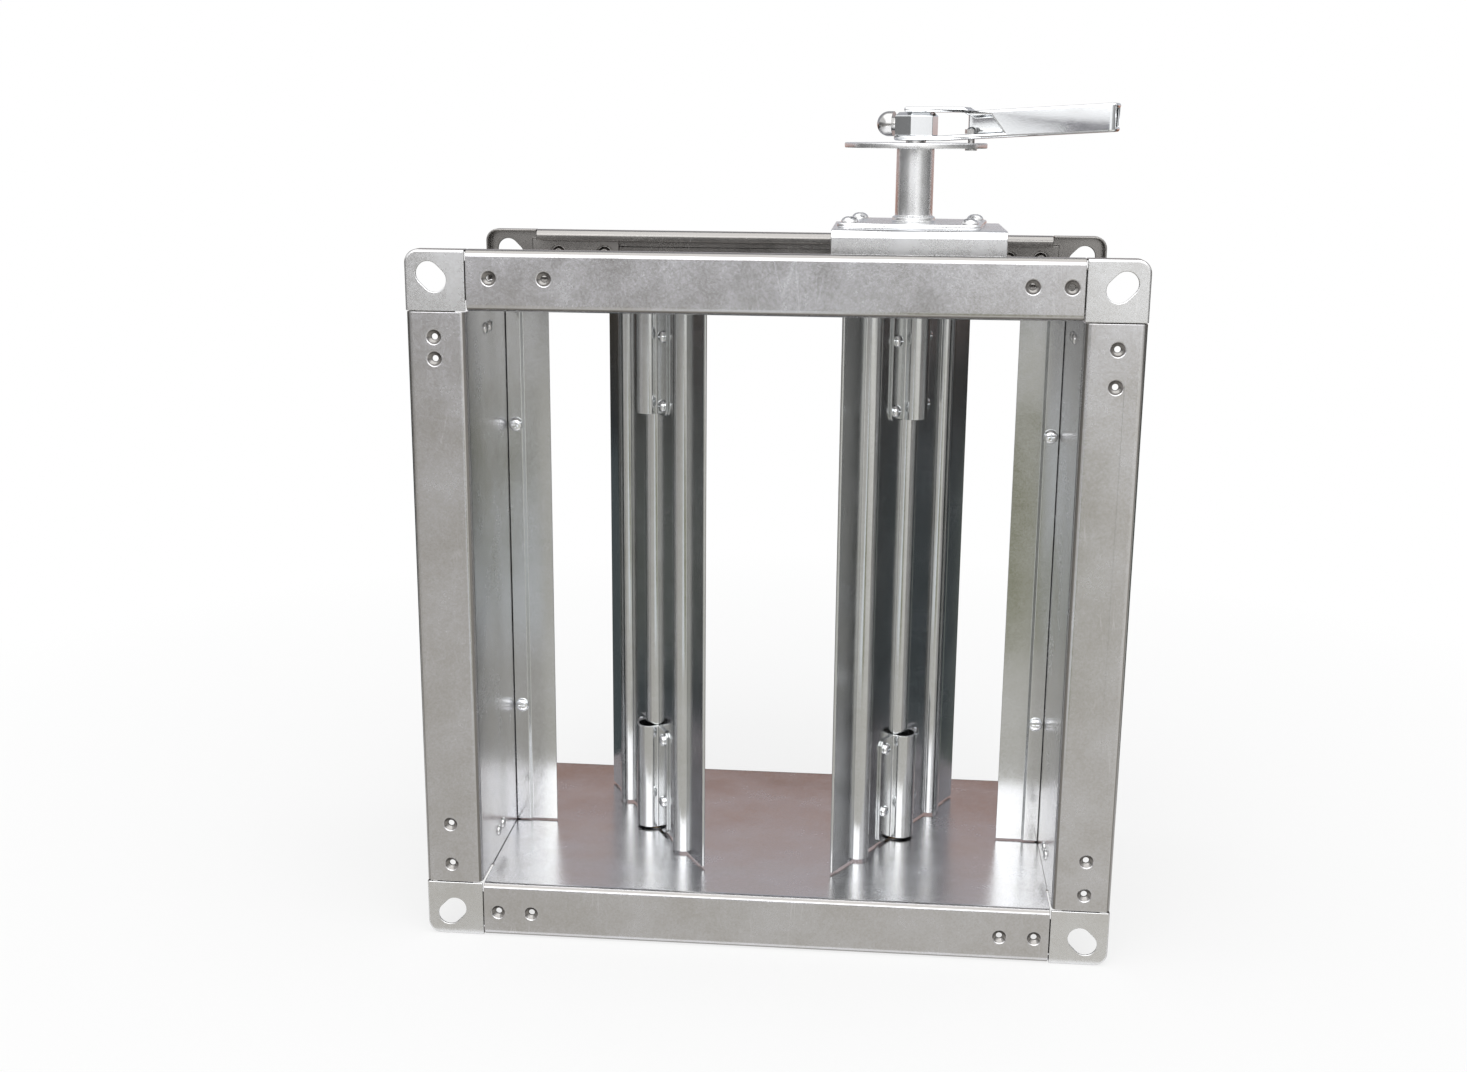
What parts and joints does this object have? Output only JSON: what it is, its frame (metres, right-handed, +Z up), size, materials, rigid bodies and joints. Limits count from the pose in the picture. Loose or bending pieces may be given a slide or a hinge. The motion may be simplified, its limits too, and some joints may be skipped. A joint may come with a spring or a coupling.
{
  "type": "opposed blade damper",
  "caption": "Flanged sheet-metal duct section with ribbed upright blades that turn against each other by a sliding link, set by a locking hand lever on a standoff.",
  "frame": {"origin": "middle of the underside of the frame: centred across the duct and along the air flow, on the plane of the bottom flange lips", "axes": "+X to the right seen from the front, +Y along the air flow from the front flange to the rear, +Z up along the blade shafts"},
  "size_m": [0.42, 0.21, 0.5092],
  "materials": {
    "galvanised_sheet": "galvanised",
    "zinc_plate": "bright zinc plate",
    "bright_steel": "drawn steel",
    "rivet_metal": "plain",
    "bronze_bush": "sintered bronze"
  },
  "bodies": {
    "frame": {"bottom_panel": "galvanised_sheet", "corner_rivets": "rivet_metal", "front_corner_bottom_left": "galvanised_sheet", "front_corner_bottom_right": "galvanised_sheet", "front_corner_top_left": "galvanised_sheet", "front_corner_top_right": "galvanised_sheet", "handle_bracket": "galvanised_sheet", "left_lower_bush": "bronze_bush", "left_panel": "galvanised_sheet", "left_stop_angle": "galvanised_sheet", "left_stop_strip": "galvanised_sheet", "left_upper_bush": "bronze_bush", "link_guide": "galvanised_sheet", "quadrant_plate": "galvanised_sheet", "rear_corner_bottom_left": "galvanised_sheet", "rear_corner_bottom_right": "galvanised_sheet", "rear_corner_top_left": "galvanised_sheet", "rear_corner_top_right": "galvanised_sheet", "right_lower_bush": "bronze_bush", "right_panel": "galvanised_sheet", "right_stop_angle": "galvanised_sheet", "right_stop_strip": "galvanised_sheet", "right_upper_bush": "bronze_bush", "standoff": "galvanised_sheet", "standoff_bush": "bronze_bush", "standoff_rivets": "rivet_metal", "stop_rivets": "rivet_metal", "stop_screws": "zinc_plate", "top_panel": "galvanised_sheet", "web_rivets": "rivet_metal"},
    "right_blade": {"lever": "zinc_plate", "lever_hub": "zinc_plate", "clamp_screw": "zinc_plate", "lock_bolt": "zinc_plate", "lock_nut": "zinc_plate", "right_blade": "galvanised_sheet", "right_upper_shaft": "bright_steel", "right_lower_shaft": "bright_steel", "right_upper_front_strap": "galvanised_sheet", "right_lower_front_strap": "galvanised_sheet", "right_upper_back_strap": "galvanised_sheet", "right_lower_back_strap": "galvanised_sheet", "right_strap_screws": "zinc_plate", "right_strap_nuts": "zinc_plate", "right_crank": "bright_steel", "right_crank_pin": "zinc_plate", "right_shaft_clip": "zinc_plate"},
    "left_blade": {"left_blade": "galvanised_sheet", "left_upper_shaft": "bright_steel", "left_lower_shaft": "bright_steel", "left_upper_front_strap": "galvanised_sheet", "left_lower_front_strap": "galvanised_sheet", "left_upper_back_strap": "galvanised_sheet", "left_lower_back_strap": "galvanised_sheet", "left_strap_screws": "zinc_plate", "left_strap_nuts": "zinc_plate", "left_crank": "bright_steel", "left_crank_pin": "zinc_plate", "left_shaft_clip": "zinc_plate"},
    "link": {"link_bar": "bright_steel"}
  },
  "joints": [
    {"name": "right_blade_turn", "type": "hinge", "parent": "frame", "child": "right_blade", "pos_m": [0.08, 0, 0.2125], "axis": [0, 0, 1], "range_deg": [-60, 30]},
    {"name": "left_blade_turn", "type": "hinge", "parent": "frame", "child": "left_blade", "pos_m": [-0.08, 0, 0.2125], "axis": [0, 0, 1], "range_deg": [-30, 60]},
    {"name": "link_slide", "type": "slide", "parent": "frame", "child": "link", "axis": [1, 0, 0], "range_m": [-0.01204, 0.02409]}
  ],
  "couplings": [
    {"joint": "left_blade_turn", "follows": "right_blade_turn", "ratio": -1},
    {"joint": "link_slide", "follows": "right_blade_turn", "m_per_rad": -0.023}
  ]
}
